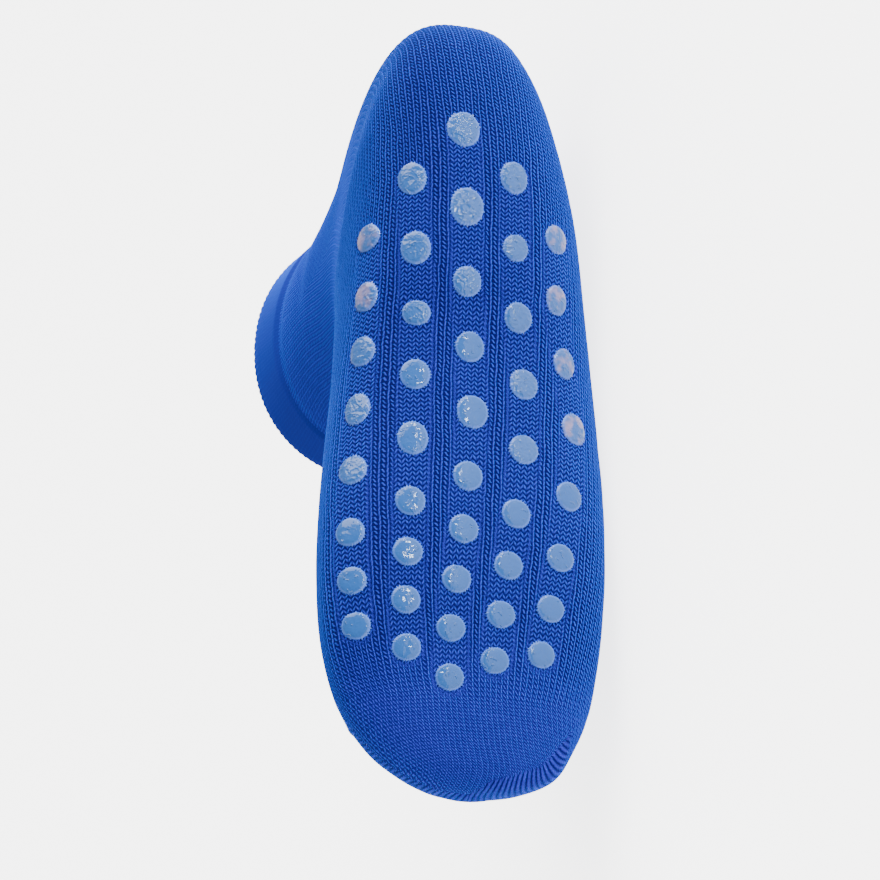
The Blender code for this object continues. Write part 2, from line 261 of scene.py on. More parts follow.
# Where the wales stand out less: shares taken away, the welt's start and the tip's end (metres), and
# the wales that a ring may run askew
FLAT_IN_PATCH = 0.65
FLAT_ON_LEG = 0.6
FLAT_ON_WELT = 0.6
WELT_RIBS_START = 0.0006
WELT_RIBS_BLEND = 0.0010
TIP_BLEND = 0.006
CROSSING_END = 0.30
CROSSING_BLEND = 0.2

# The fold at the rim (metres, degrees), and the inner side: its first ring and every how many of the
# rings and columns it keeps
FOLD_SLACK = 0.0003
FOLD_ANGLES = (20.0, 40.0, 60.0, 80.0, 100.0, 120.0, 140.0, 160.0, 180.0)
INSIDE_FIRST = 4
INSIDE_RINGS = 2
INSIDE_COLUMNS = 3
INSIDE_OVERLAP = 0.00005

# Two strands of a stitch, in wales
# lean, fine_lean: how far it leans over a row, and how much more in the toe; middle: place in the wale
# edge, ridge: distance from its middle at which it starts to rise, and at which it is full
Stroke = namedtuple("Stroke", "lean fine_lean middle edge ridge")
SLANTED = Stroke(0.34, 0.25, 0.30, 0.17, 0.03)
UPRIGHT = Stroke(-0.08, 0.38, 0.80, 0.15, 0.03)

# Looks of the three kinds of knit
# bump: strength of the stitches; sheen: bloom of the fibres; contrast: depth of the painted shade between
# the strands
# gain: brightness of the yarn
KnitLook = namedtuple("KnitLook", "bump sheen contrast gain")
WHOLE_KNIT = KnitLook(0.95, 0.6, 1.0, 1.0)
WELT_KNIT = KnitLook(0.2, 0.6, 0.3, 0.6)
INNER_KNIT = KnitLook(0.7, 0.4, 0.6, 1.0)
STITCH_BUMP = 0.0005
GEL_BUMP = 0.0006

# Colours: what the toe gains in red, green and blue as painted light, and the leg as its fuzzier knit and
# painted light; the fibres' bloom, the pinkish reflection painted into some gel, and the gel's soaked edge
LEG_FUZZ_AND_PAINTED_LIGHT = (0.30, 0.62, 0.42)
TOE_PAINTED_LIGHT = (0.50, 0.30, 0.38)
SHEEN_TINT = (0.010, 0.150, 0.90)
PINK_REFLECTION_COLOUR = (0.24, 0.135, 0.16)
FRINGE = (0.036, 0.088, 0.336)

# Stage: the floor's middle, the wide light's width (degrees) and run, small lights, and the camera
FLOOR_MIDDLE = (0.0, 1.5, -0.0002)
OVERHEAD_WIDTH = 60.0
OVERHEAD_RUN = (-0.90, 0.22, -0.38)
GLINT_PLACES = ((0.42, -0.72, 0.06), (0.18, -0.80, 0.09), (0.64, -0.50, 0.14))
GLINT_AIM = (0.0, 0.0, 0.04)
GLINT_SIZE = 0.065
GLINT_POWER = 2.2
GLINT_COLOUR = (0.82, 0.92, 1.0)
CAMERA_PLACE = (-0.23054, -0.61132, 0.26408)
CAMERA_TURN = (17.1030, 69.3544, -92.6850)
CAMERA_LENS = 89.068
CAMERA_SHIFT = (-0.01587, -0.01180)


class SockSizes(bpy.types.PropertyGroup):
    """Sizes of the sock and of its knit."""

    foot_length: FloatProperty(
        name="Foot Length", description="From the heel's back to the toe tip",
        default=0.248, subtype="DISTANCE", unit="LENGTH")
    ball_width: FloatProperty(
        name="Ball Width", description="Across the ball of the foot",
        default=0.0846, subtype="DISTANCE", unit="LENGTH")
    instep_height: FloatProperty(
        name="Instep Height", description="From the sole to the top of the instep",
        default=0.0642, subtype="DISTANCE", unit="LENGTH")
    leg_height: FloatProperty(
        name="Leg Height", description="From the sole to the rim's highest point",
        default=0.1157, subtype="DISTANCE", unit="LENGTH")
    wall: FloatProperty(
        name="Wall", description="Thickness of the knit",
        default=0.0015, subtype="DISTANCE", unit="LENGTH")
    welt_height: FloatProperty(
        name="Welt Height", description="Depth of the doubled band at the rim",
        default=0.0175, subtype="DISTANCE", unit="LENGTH")
    wales: IntProperty(
        name="Wales", description="Lines of stitches round the sock", default=104)
    wale_relief: FloatProperty(
        name="Wale Relief", description="How far a line of stitches stands out",
        default=0.00016, subtype="DISTANCE", unit="LENGTH")


class KnitColours(bpy.types.PropertyGroup):
    """Colours of the yarn and of the gel."""

    yarn: FloatVectorProperty(
        name="Yarn", description="Bright side of the yarn", subtype="COLOR", size=3,
        min=0.0, max=1.0, default=(0.0135, 0.0205, 0.222))
    # Painted shade: the yarn's colour deep between the stitches, where shade falls
    shadow: FloatVectorProperty(
        name="Between Stitches", description="Yarn deep between the stitches", subtype="COLOR",
        size=3, min=0.0, max=1.0, default=(0.0015, 0.0003, 0.030))
    gel: FloatVectorProperty(
        name="Gel", description="Clear grey gel over the blue knit", subtype="COLOR", size=3,
        min=0.0, max=1.0, default=(0.003, 0.040, 0.150))


class GripSizes(bpy.types.PropertyGroup):
    """Sizes of the grip dots."""

    diameter: FloatProperty(
        name="Dot Diameter", description="Across one drop of gel",
        default=0.0087, subtype="DISTANCE", unit="LENGTH")
    rise: FloatProperty(
        name="Dot Rise", description="How far the gel stands above the knit",
        default=0.0009, subtype="DISTANCE", unit="LENGTH")


class StageSettings(bpy.types.PropertyGroup):
    """Floor, light and camera."""

    floor_size: FloatProperty(
        name="Floor Size", description="Side of the pale floor",
        default=24.0, subtype="DISTANCE", unit="LENGTH")
    floor_glow: FloatProperty(
        name="Floor Glow", description="Strength of the even light that the floor gives off", default=3.0)
    daylight: FloatProperty(
        name="Daylight", description="Strength of the even light all round", default=1.7)
    overhead: FloatProperty(
        name="Overhead Light", description="Strength of the wide light from the heel's side", default=10.0)


def smooth(share):
    """Soft rise from 0 to 1."""
    share = np.clip(share, 0.0, 1.0)
    return share * share * (3.0 - 2.0 * share)


def bell(distance, width):
    """Soft bump: 1 in the middle, 0 a width away."""
    return smooth(1.0 - np.abs(distance) / width)


def sections_at(places):
    """Section values at the places, counted in rows of the table and smooth between them."""
    rows = np.array([row[1:] for row in SECTIONS])
    rows = np.vstack([2 * rows[0] - rows[1], rows, 2 * rows[-1] - rows[-2]])
    first = np.minimum(places.astype(int), len(SECTIONS) - 2)
    part = (places - first)[:, None]
    before, here, after, beyond = (rows[first + step] for step in range(4))
    values = 0.5 * (2 * here + (after - before) * part
                    + (2 * before - 5 * here + 4 * after - beyond) * part ** 2
                    + (beyond - before + 3 * (here - after)) * part ** 3)
    return Section("between", *values.T[:, :, None])


def even_rings(places, count, fineness=RING_FINENESS):
    """Rings at the places in foot directions, each evenly spaced over its outer and inner half."""
    sizes = bpy.context.scene.sock_sizes
    here = sections_at(np.asarray(places, dtype=float))
    angle = np.linspace(0.0, 2.0 * math.pi, fineness + 1)[None, :]
    cosine, sine = np.cos(angle), np.sin(angle)
    full = np.where(cosine >= 0.0, here.front_full, here.back_full)
    reach = np.abs(cosine) ** (2.0 / full)
    front = here.widest + (1.0 - here.widest) * reach
    depth = np.where(cosine >= 0.0, front, here.widest * (1.0 - reach))
    side = np.sign(sine) * np.abs(sine) ** (2.0 / full)
    low, high = height(here.back_h, sizes), height(here.front_h, sizes)
    points = np.stack([sizes.foot_length * (here.back_x + (here.front_x - here.back_x) * depth),
                       low + (high - low) * depth,
                       sizes.ball_width * ((here.outer - here.inner) / 2.0
                                           + (here.outer + here.inner) / 2.0 * side)], axis=-1)
    shares = np.linspace(0.0, 1.0, count // 2 + 1)[:-1]
    half = fineness // 2
    return np.array([np.vstack([along(ring[:half + 1], shares), along(ring[half:], shares)])
                     for ring in points])


def height(share, sizes):
    """Height above the sole for a share of 0 to 1 up to the instep and 1 to 2 on to the rim."""
    return np.where(share <= 1.0, share * sizes.instep_height,
                    sizes.instep_height + (share - 1.0) * (sizes.leg_height - sizes.instep_height))


def along(points, shares):
    """Points at the given shares of a polyline's length."""
    steps = np.linalg.norm(np.diff(points, axis=0), axis=1)
    length = np.concatenate([[0.0], np.cumsum(steps)])
    want = shares * length[-1]
    return np.stack([np.interp(want, length, points[:, axis]) for axis in range(3)], axis=1)


def outward(grid):
    """Unit normals of a grid of rings, pointing out of the sock."""
    around = np.roll(grid, -1, axis=1) - np.roll(grid, 1, axis=1)
    lengthways = np.gradient(grid, axis=0)
    normal = np.cross(around, lengthways)
    normal /= np.maximum(np.linalg.norm(normal, axis=2), TINY)[..., None]
    middle = grid.mean(axis=1, keepdims=True)
    if np.mean(np.sum(normal * (grid - middle), axis=2)) < 0.0:
        normal = -normal
    return normal


def to_scene(points):
    """Foot directions to the scene's axes, before the sock lies down."""
    return np.stack([-points[..., 0], points[..., 1], points[..., 2]], axis=-1)


def column_shares(column):
    """Shares round the foot of a column of dots at the stations along it."""
    return column.heel, column.waist, column.arch, column.ball, column.toe


class LyingPose:
    """The turn that lays the sock on its inner side, and the floor that presses it flat."""

    def __init__(self):
        low, high = (int(share * REST_COLUMNS) for share in REST_RING)
        zones = []
        for first, last in REST_ZONES:
            rings = even_rings(np.linspace(first, last, REST_ROWS), REST_COLUMNS, COARSE_FINENESS)
            zones.append(to_scene(rings[:, low:high]).reshape(-1, 3))
        up = np.array([0.0, 0.0, 1.0])
        for _ in range(REST_ROUNDS):
            touch = np.array([zone[np.argmin(zone @ up)] for zone in zones])
            up = np.cross(touch[1] - touch[0], touch[2] - touch[0])
            up = up * np.sign(up[2]) / np.linalg.norm(up)
        ahead = np.array([1.0, 0.0, 0.0])
        ahead = ahead - up * (ahead @ up)
        ahead /= np.linalg.norm(ahead)
        self.turn = np.array([ahead, np.cross(up, ahead), up])
        self.floor = float(touch[0] @ up) + FLOOR_PRESS

    def lay(self, points):
        """Turn points of the sock and press what would sink into the floor flat on it."""
        laid = to_scene(points) @ self.turn.T
        high = laid[..., 2] - self.floor
        share = np.clip(high / FLOOR_BLEND, 0.0, 1.0)
        laid[..., 2] = np.where(high < FLOOR_BLEND, FLOOR_BLEND * share * share * (2.0 - share), high)
        return laid + np.array(TO_ORIGIN)


class Knit:
    """The sock's outer skin as a fine grid: rings from the toe tip to the rim, columns along the wales."""

    per_wale = 6

    def __init__(self):
        sizes = bpy.context.scene.sock_sizes
        self.sizes = sizes
        self.pose = LyingPose()
        self.columns = self.per_wale * sizes.wales
        self.share = np.arange(self.columns) / self.columns
        self.measure_length()
        self.walked = self.ring_stops()
        self.places = np.interp(self.walked, self.walked_table, self.place_table)
        self.plain = even_rings(self.places, self.columns)
        self.add_tip()
        self.normal = outward(self.plain)
        self.laid_plain = self.pose.lay(self.plain)
        self.wale, self.course = self.stitch_map()
        self.dots = self.dot_list()
        self.patch, self.near = self.dot_fields()
        self.fields = self.knit_fields()
        self.points = self.pose.lay(self.plain + self.normal * self.relief()[..., None])
        self.shading = outward(self.points)

    def measure_length(self):
        """The way along the sock from the toe tip, at small steps through the section table."""
        rows = len(SECTIONS) - 1
        self.place_table = np.linspace(0.0, rows, STEPS_PER_SECTION * rows + 1)
        coarse = even_rings(self.place_table, COARSE_COLUMNS, COARSE_FINENESS)
        steps = np.linalg.norm(np.diff(coarse, axis=0), axis=2)
        steps = 0.5 * (steps.mean(axis=1) + steps.max(axis=1))
        self.walked_table = np.concatenate([[0.0], np.cumsum(steps)])
        self.groove = self.walked_table[-1] - self.sizes.welt_height

    def way_to(self, place):
        """The way along the sock from the toe tip to a place."""
        return np.interp(place, self.place_table, self.walked_table)

    def place_index(self, place):
        """The ring nearest to a place."""
        return int(np.argmin(np.abs(self.places - place)))

    def ring_stops(self):
        """Distances from the toe tip at which a ring is cut, closer together at the seam and the groove."""
        seam, end = self.way_to(TOE_SEAM), self.walked_table[-1]
        marks = (0.0, seam - FINE_REACH, seam + FINE_REACH,
                 self.groove - FINE_REACH, self.groove + FINE_REACH, end)
        steps = (RING_STEP, SEAM_STEP, RING_STEP, GROOVE_STEP, RING_STEP)
        stops = [np.linspace(first, last, max(2, int(round((last - first) / step))), endpoint=False)
                 for first, last, step in zip(marks, marks[1:], steps)]
        return np.concatenate(stops + [np.array([end])])

    def add_tip(self):
        """Rings that close the toe tip with a slight bulge."""
        ring = self.plain[0]
        middle = ring.mean(axis=0)
        shares = np.array(TIP_SHARES)[:, None, None]
        tip = middle + (ring - middle) * shares
        tip[..., 0] += TIP_BULGE * (1.0 - shares[..., 0] ** 2)
        reach = np.linalg.norm(ring - middle, axis=1).mean()
        self.plain = np.concatenate([tip, self.plain])
        self.places = np.concatenate([np.zeros(len(TIP_SHARES)), self.places])
        self.walked = np.concatenate([reach * (np.array(TIP_SHARES) - 1.0), self.walked])

    def stitch_map(self):
        """Wale and course of every point, with one column more that closes the ring."""
        grid = np.concatenate([self.plain, self.plain[:, :1]], axis=1)
        share = np.linspace(0.0, 1.0, self.columns + 1)
        wale = self.count_wales(grid, share) + self.sway(grid, share)
        course = self.count_courses(grid, share)
        self.lay_toe_band(grid, course)
        return wale, course

    def count_wales(self, grid, share):
        """Wales round every ring. On the toe and the heel they keep their width and end along the sides."""
        wales = self.sizes.wales
        steps = np.linalg.norm(np.diff(grid, axis=1), axis=2)
        arc = np.concatenate([np.zeros((len(grid), 1)), np.cumsum(steps, axis=1)], axis=1)
        half = self.columns // 2
        first, second = arc[:, half:half + 1], arc[:, -1:] - arc[:, half:half + 1]
        width = np.where(share <= 0.5, first, second) / (wales / 2.0)
        width = np.minimum(width, WALE_WIDTH)
        last = self.place_index(TOE_END)
        width[:last] = width[last]
        from_back = wales / 2.0 + (arc - first) / width
        from_front = np.where(share < 0.5, arc / width, wales - (arc[:, -1:] - arc) / width)
        return np.where(on_back(share), from_back, from_front)

    def count_courses(self, grid, share):
        """Rows of stitches along every column. The rows that turn the heel end along its gore."""
        steps = np.linalg.norm(np.diff(grid, axis=0), axis=2)
        steps /= np.interp(self.places[1:], COURSE_PLACES, COURSE_HEIGHTS)[:, None]
        length = np.concatenate([np.zeros((1, len(share))), np.cumsum(steps, axis=0)])
        foot, gore, leg = (self.place_index(place) for place in (FOOT_END, HEEL_GORE, HEEL_END))
        course = length - length[foot]
        over_heel = length[leg] - length[foot]
        turn = over_heel[self.columns // 4]
        missing = turn - over_heel[self.columns // 2]
        slack = (turn - over_heel) / missing
        back = on_back(share)
        course[leg:] = turn + length[leg:] - length[leg]
        course[gore:leg, back] = (course[gore:leg] + np.round(missing) * slack)[:, back]
        front = course[foot:leg] * (turn / np.maximum(over_heel, TINY))
        course[foot:leg, ~back] = front[:, ~back]
        return course - (course.min() - FIRST_COURSE)

    def sway(self, grid, share):
        """How far the wales swing aside, in wales, where they run past the columns of dots."""
        far = grid[:, :, 0] / self.sizes.foot_length
        lines = [np.interp(far, DOT_STATIONS, column_shares(column)) for column in DOT_COLUMNS]
        last = len(lines) - 1
        gap = (lines[-1] - lines[0]) / last
        count = np.minimum((share - lines[0]) / gap, 0.0) + np.maximum((share - lines[-1]) / gap, 0.0)
        for line, beyond in zip(lines, lines[1:]):
            count += np.clip((share - line) / (beyond - line), 0.0, 1.0)
        across = smooth((count + SWAY_PAST) / SWAY_BLEND) * smooth((last + SWAY_PAST - count) / SWAY_BLEND)
        start, end = SWAY_RUN
        lengthways = smooth((far - start) / SWAY_FADE) * smooth((end - far) / SWAY_FADE)
        below = (self.places < SOLE_END)[:, None]
        return SWAY * np.sin(2.0 * math.pi * count) * across * lengthways * below

    def lay_toe_band(self, grid, course):
        """Stitches of the toe, and those of the band of ribs that bend round to meet its edge square."""
        last = self.place_index(TOE_END)
        rows = (self.walked[last] - self.walked[:last]) / COURSE_HEIGHTS[0]
        course[:last] = course[last] - rows[:, None]
        edge, way = self.toe_edge(last)
        square_wale = np.zeros_like(grid[:last, :, 0])
        square_course = np.zeros_like(square_wale)
        self.band = np.zeros(grid.shape[:2])
        for row in range(last):
            far = np.linalg.norm(grid[row][:, None, :] - edge[None, :, :], axis=2)
            depth, along_edge = far.min(axis=1), way[far.argmin(axis=1)]
            self.band[row] = (np.interp(along_edge, BAND_ALONG, BAND_DEEP) - depth) / BAND_FADE
            square_wale[row] = (along_edge - BAND_BEND * depth ** 2) / BAND_RIB + self.sizes.wales / 2.0
            square_course[row] = depth / COURSE_HEIGHTS[0]
        self.square = (square_wale, square_course)

    def toe_edge(self, last):
        """The toe's widest line from its outer side round the tip to its inner side, and the way on it."""
        quarter = self.columns // 4
        under = int(BAND_INNER * self.columns)
        line = np.vstack([self.plain[:last + 1, quarter][::-1], self.plain[:last + 1, under]])
        steps = np.linalg.norm(np.diff(line, axis=0), axis=1)
        length = np.concatenate([[0.0], np.cumsum(steps)])
        way = np.arange(0.0, length[-1], EDGE_STEP)
        edge = np.stack([np.interp(way, length, line[:, axis]) for axis in range(3)], axis=1)
        return edge, way - length[last]

    def dot_list(self):
        """Name, length place, ring share, column and number of every grip dot."""
        dots = []
        for column in DOT_COLUMNS:
            around = np.interp(column.places, DOT_STATIONS, column_shares(column))
            for number, (place, share) in enumerate(zip(column.places, around), start=1):
                dots.append((f"grip_dot_{column.name}{number}", place, share, column, number))
        return dots

    def sole_point(self, place, around):
        """Foot-direction point of the plain sock at a share of the foot length on the sole."""
        column = around * self.columns
        low = int(column)
        last = self.place_index(SOLE_LINE_END)
        here, beyond = self.plain[:last, low], self.plain[:last, low + 1]
        line = here + (beyond - here) * (column - low)
        want = place * self.sizes.foot_length
        return np.array([np.interp(want, line[::-1, 0], line[::-1, axis]) for axis in range(3)])

    def dot_fields(self):
        """How much each point lies in the flat knit between two dots of a column, and how near to a dot."""
        patch = np.zeros(self.plain.shape[:2])
        near = np.full(self.plain.shape[:2], 1.0)
        spots = {name: self.sole_point(place, share) for name, place, share, _, _ in self.dots}
        last = self.place_index(SOLE_END)
        points = self.plain[:last]
        for name, _, _, column, number in self.dots:
            start = spots[name]
            near[:last] = np.minimum(near[:last], np.linalg.norm(points - start, axis=2))
            run = spots.get(f"grip_dot_{column.name}{number + 1}", start) - start
            share = np.clip(((points - start) @ run) / max(run @ run, TINY), 0.0, 1.0)
            aside = np.linalg.norm(points - (start + share[..., None] * run), axis=2)
            if number < len(column.places):
                patch[:last] = np.maximum(patch[:last], smooth((PATCH_REACH - aside) / PATCH_BLEND))
        return patch, near

    def knit_fields(self):
        """Kinds of knit at every point: flat patch, fine toe, soft leg, band at the toe's edge."""
        row = self.places[:, None]
        start = SOFT_START + SOFT_START_BACK * bell(self.share - 0.5, SOFT_BACK_REACH)[None, :]
        ones = np.ones(self.plain.shape[:2])
        return {"patch": self.patch,
                "fine": ones * smooth((FINE_END - row) / FINE_BLEND),
                "soft": ones * smooth((row - start) / SOFT_BLEND),
                "band": smooth(self.band[:, :-1])}

    def relief(self):
        """How far every point stands out of the plain form."""
        past = self.walked[:, None] - self.groove
        welt = self.sizes.welt_height
        turn = np.cos(self.wale[:, :-1] * 2.0 * math.pi)
        lift = WELT_RISE * smooth((past - WELT_START) / WELT_BLEND)
        lift = lift - GROOVE_DEPTH * bell(past + GROOVE_BACK, GROOVE_WIDTH)
        lift = lift - RIM_ROUND * smooth((past - welt + RIM_BLEND) / RIM_BLEND)
        lift = lift + RIM_TEETH * turn * bell(past - welt, RIM_TEETH_REACH)
        lift += self.seam_relief() - 0.5 * turn * self.wale_strength(past)
        lift -= SOAK_DEPTH * bell(self.near - SOAK_REACH, SOAK_WIDTH)
        return lift + self.creases()

    def seam_relief(self):
        """The toe closing, which runs across the top of the toes and ends at the sides."""
        on_top = smooth((np.abs(self.share - 0.5) - TOE_SEAM_SIDE_START) / TOE_SEAM_SIDE_BLEND)
        across = bell(self.walked[:, None] - self.way_to(TOE_SEAM), SEAM_WIDTH)
        return SEAM_RISE * across * on_top[None, :]

    def wale_strength(self, past):
        """How far the wales stand out: less in flat and soft knit, not at all where they run askew."""
        crossing = np.abs(np.gradient(self.wale[:, :-1], axis=0))
        in_welt = smooth((past - WELT_RIBS_START) / WELT_RIBS_BLEND)
        strength = self.sizes.wale_relief * (1.0 - FLAT_IN_PATCH * self.patch)
        strength = strength * (1.0 - FLAT_ON_LEG * self.fields["soft"]) * (1.0 - self.fields["band"])
        strength = strength * smooth((CROSSING_END - crossing) / CROSSING_BLEND)
        at_tip = smooth(self.walked / TIP_BLEND)[:, None]
        return strength * at_tip * (1.0 - FLAT_ON_WELT * in_welt)

    def creases(self):
        """Soft folds of the knit where the sock bends and sits loose."""
        lift = np.zeros(self.plain.shape[:2])
        for crease in CREASES:
            aside = (self.share[None, :] - crease.share + 0.5) % 1.0 - 0.5
            middle = self.way_to(crease.place) + crease.lean * aside
            along_it = bell(aside, crease.reach)
            lift += crease.lift * bell(self.walked[:, None] - middle, crease.width) * along_it
        return lift


def on_back(share):
    """Whether a share of the ring lies on the sole's and the heel's half."""
    return (share >= 0.25) & (share <= 0.75)


def ring_corners(rows, columns):
    """Indices of every face's corners, for rings of points that close on themselves."""
    ring = np.arange(columns)
    after = (ring + 1) % columns
    start = (np.arange(rows - 1) * columns)[:, None]
    beyond = start + columns
    return np.stack([start + ring, start + after, beyond + after, beyond + ring], axis=-1)


def grid_corners(values):
    """Values of a grid at every face's corners."""
    return np.stack([values[:-1, :-1], values[:-1, 1:], values[1:, 1:], values[1:, :-1]], axis=-1)


def stitch_corners(wale, course, square):
    """Wale and course at every face's corners, mended where the count of either jumps."""
    one_on = wale[:, :-1] + 1.0 / Knit.per_wale
    beyond = np.where(np.abs(np.diff(wale, axis=1)) > WALE_JUMP, one_on, wale[:, 1:])
    later = np.where(np.abs(np.diff(course, axis=0)) > COURSE_JUMP, course[:-1] + COURSE_STEP, course[1:])
    wales = np.stack([wale[:-1, :-1], beyond[:-1], beyond[1:], wale[1:, :-1]], axis=-1)
    courses = np.stack([course[:-1, :-1], course[:-1, 1:], later[:, 1:], later[:, :-1]], axis=-1)
    if square is not None:
        in_band, square_wale, square_course = square
        mostly = in_band[:-1, :-1] & in_band[1:, 1:]
        wales[mostly] = grid_corners(square_wale)[mostly]
        courses[mostly] = grid_corners(square_course)[mostly]
    return wales, courses


def faces_inward(corners, points, normals):
    """Whether the faces of the middle ring look against its normals."""
    row = len(points) // 2
    a, b, c = (points.reshape(-1, 3)[corners[row, :, corner]] for corner in range(3))
    return np.sum(np.cross(b - a, c - a) * normals[row], axis=1).mean() < 0.0


def add_values(mesh, key, values):
    """A value for every point of a mesh, for its material to read."""
    data = mesh.attributes.new(key, "FLOAT", "POINT").data
    data.foreach_set("value", np.asarray(values, dtype=np.float32).ravel())


def fill_mesh(name, points, normals, stitches, fields, square=None):
    """Object from a grid of points, with its stitch map, its fields and its shading."""
    corners = ring_corners(*points.shape[:2])
    wales, courses = stitch_corners(*stitches, square)
    if faces_inward(corners, points, normals):
        corners, wales, courses = (part[..., ::-1] for part in (corners, wales, courses))
    faces = corners.reshape(-1, 4)
    mesh = bpy.data.meshes.new(name)
    mesh.vertices.add(points.size // 3)
    mesh.vertices.foreach_set("co", points.ravel())
    mesh.loops.add(faces.size)
    mesh.loops.foreach_set("vertex_index", faces.ravel())
    mesh.polygons.add(len(faces))
    mesh.polygons.foreach_set("loop_start", np.arange(len(faces)) * 4)
    mesh.update(calc_edges=True)
    around = wales.ravel() / bpy.context.scene.sock_sizes.wales
    map_points = np.stack([around, courses.ravel() / COURSE_SPAN], axis=-1)
    mesh.uv_layers.new(name="Stitches").data.foreach_set("uv", map_points.ravel())
    for key, values in fields.items():
        add_values(mesh, key, values)
    mesh.polygons.foreach_set("use_smooth", np.ones(len(faces), dtype=bool))
    mesh.normals_split_custom_set_from_vertices(normals.reshape(-1, 3))
    thing = bpy.data.objects.new(name, mesh)
    bpy.context.scene.collection.objects.link(thing)
    return thing


class Field:
    """A value in a material's node tree that can be reckoned with."""

    def __init__(self, tree, socket):
        self.tree = tree
        self.socket = socket

    def math(self, operation, *others):
        """The value after an operation with other values."""
        node = self.tree.nodes.new("ShaderNodeMath")
        node.operation = operation
        for place, value in enumerate((self,) + others):
            if isinstance(value, Field):
                self.tree.links.new(value.socket, node.inputs[place])
            else:
                node.inputs[place].default_value = value
        return Field(self.tree, node.outputs[0])

    def __add__(self, other):
        return self.math("ADD", other)

    def __sub__(self, other):
        return self.math("SUBTRACT", other)

    def __mul__(self, other):
        return self.math("MULTIPLY", other)

    def frac(self):
        """The part behind the decimal point."""
        return self.math("FRACT")

    def away(self, middle):
        """Distance from a middle value."""
        return self.math("SUBTRACT", middle).math("ABSOLUTE")

    def fade(self, start, end):
        """Soft change from 0 at start to 1 at end."""
        node = self.tree.nodes.new("ShaderNodeMapRange")
        node.interpolation_type = "SMOOTHSTEP"
        node.inputs["From Min"].default_value = start
        node.inputs["From Max"].default_value = end
        self.tree.links.new(self.socket, node.inputs["Value"])
        return Field(self.tree, node.outputs["Result"])

    def mix(self, other, share):
        """This value where the share is 0, the other where it is 1."""
        return self + (other - self) * share


class Surface:
    """A new material and what the knit and the gel both need of its node tree."""

    def __init__(self, name):
        self.material = bpy.data.materials.new(name)
        self.material.use_nodes = True
        self.tree = self.material.node_tree
        self.shader = self.tree.nodes["Principled BSDF"]
        self.where = self.new("ShaderNodeTexCoord")

    def new(self, kind):
        """A new node of a kind."""
        return self.tree.nodes.new(kind)

    def link(self, source, target):
        """Join an output to an input."""
        self.tree.links.new(source, target)

    def noise(self, scale, detail=2.0):
        """Cloudy value round 0.5 that changes over the object."""
        node = self.new("ShaderNodeTexNoise")
        node.inputs["Scale"].default_value = scale
        node.inputs["Detail"].default_value = detail
        self.link(self.where.outputs["Object"], node.inputs["Vector"])
        return Field(self.tree, node.outputs["Fac"])

    def drift(self, scale, detail=2.0):
        """Cloudy value round 0 that changes over the object."""
        return self.noise(scale, detail) - 0.5

    def attribute(self, key):
        """A value of the mesh's points."""
        node = self.new("ShaderNodeAttribute")
        node.attribute_name = key
        return Field(self.tree, node.outputs["Fac"])

    def blend(self, first, second, share):
        """Colour output that goes from the first to the second colour with a share."""
        node = self.new("ShaderNodeMix")
        node.data_type = "RGBA"
        for key, colour in (("A", first), ("B", second)):
            if isinstance(colour, bpy.types.NodeSocket):
                self.link(colour, node.inputs[key])
            else:
                node.inputs[key].default_value = (*colour, 1.0)
        self.link(share.socket, node.inputs["Factor"])
        return node.outputs["Result"]

    def emboss(self, height, strength, distance, *inputs):
        """Bump the shader's normals by a height."""
        bump = self.new("ShaderNodeBump")
        bump.inputs["Strength"].default_value = strength
        bump.inputs["Distance"].default_value = distance
        self.link(height.socket, bump.inputs["Height"])
        for key in inputs:
            self.link(bump.outputs["Normal"], self.shader.inputs[key])

    def finish(self, values):
        """Set the shader's plain values and hand over the material."""
        for key, value in values.items():
            self.shader.inputs[key].default_value = value
        return self.material


def stitch_place(surface):
    """Wale and course at a point, a little uneven as hand-fed yarn is."""
    place = surface.new("ShaderNodeUVMap")
    place.uv_map = "Stitches"
    split = surface.new("ShaderNodeSeparateXYZ")
    surface.link(place.outputs["UV"], split.inputs[0])
    wale = Field(surface.tree, split.outputs["X"]) * float(bpy.context.scene.sock_sizes.wales)
    course = Field(surface.tree, split.outputs["Y"]) * COURSE_SPAN
    wale = wale + surface.drift(70.0) * 0.5 + surface.drift(420.0) * 0.28
    course = course + surface.drift(60.0) * 1.2 + surface.drift(500.0) * 0.6
    return wale, course


def strand_height(surface, wale, course, kinds):
    """Height of the yarn, 0 to 1: two strands a stitch, a zigzag in flat knit and a rib in the band."""
    patch, fine, _, band = kinds
    x, y = wale.frac(), course.frac()
    past = y - 0.5
    end = past.away(0.0)
    slanted = stroke_height(x, past, fine, SLANTED) * end.fade(0.52, 0.26)
    upright = stroke_height(x, past, fine, UPRIGHT)
    upright = upright * (end.fade(0.5, 0.2) * (fine * 0.35 + 0.35) + (fine * -0.35 + 0.65))
    point = (x.away(0.5) * -2.0 + 1.0) * 0.78
    arms = (x * 2.0).frac().away(0.5).fade(0.50, 0.18) * 0.75 + 0.42
    zigzag = (course + point).frac().away(0.5).fade(0.36, 0.08) * arms
    rib = x.away(0.5).fade(0.45, 0.10) * (surface.drift(380.0) * 0.8 + 0.60)
    plain = slanted.math("MAXIMUM", upright)
    return plain.mix(zigzag, patch * 0.9).mix(rib, band * 0.9)


def stroke_height(x, past, fine, stroke):
    """One strand that leans across its wale, and leans further in the fine knit of the toe."""
    leant = x + past * (fine * stroke.fine_lean + stroke.lean)
    return leant.away(stroke.middle).fade(stroke.edge, stroke.ridge)


def stitch_chance(surface, wale, course):
    """One random value for every stitch, round 0."""
    cell = surface.new("ShaderNodeTexWhiteNoise")
    cell.noise_dimensions = "2D"
    join = surface.new("ShaderNodeCombineXYZ")
    surface.link(wale.math("FLOOR").socket, join.inputs[0])
    surface.link(course.math("FLOOR").socket, join.inputs[1])
    surface.link(join.outputs[0], cell.inputs["Vector"])
    return Field(surface.tree, cell.outputs["Value"]) - 0.5


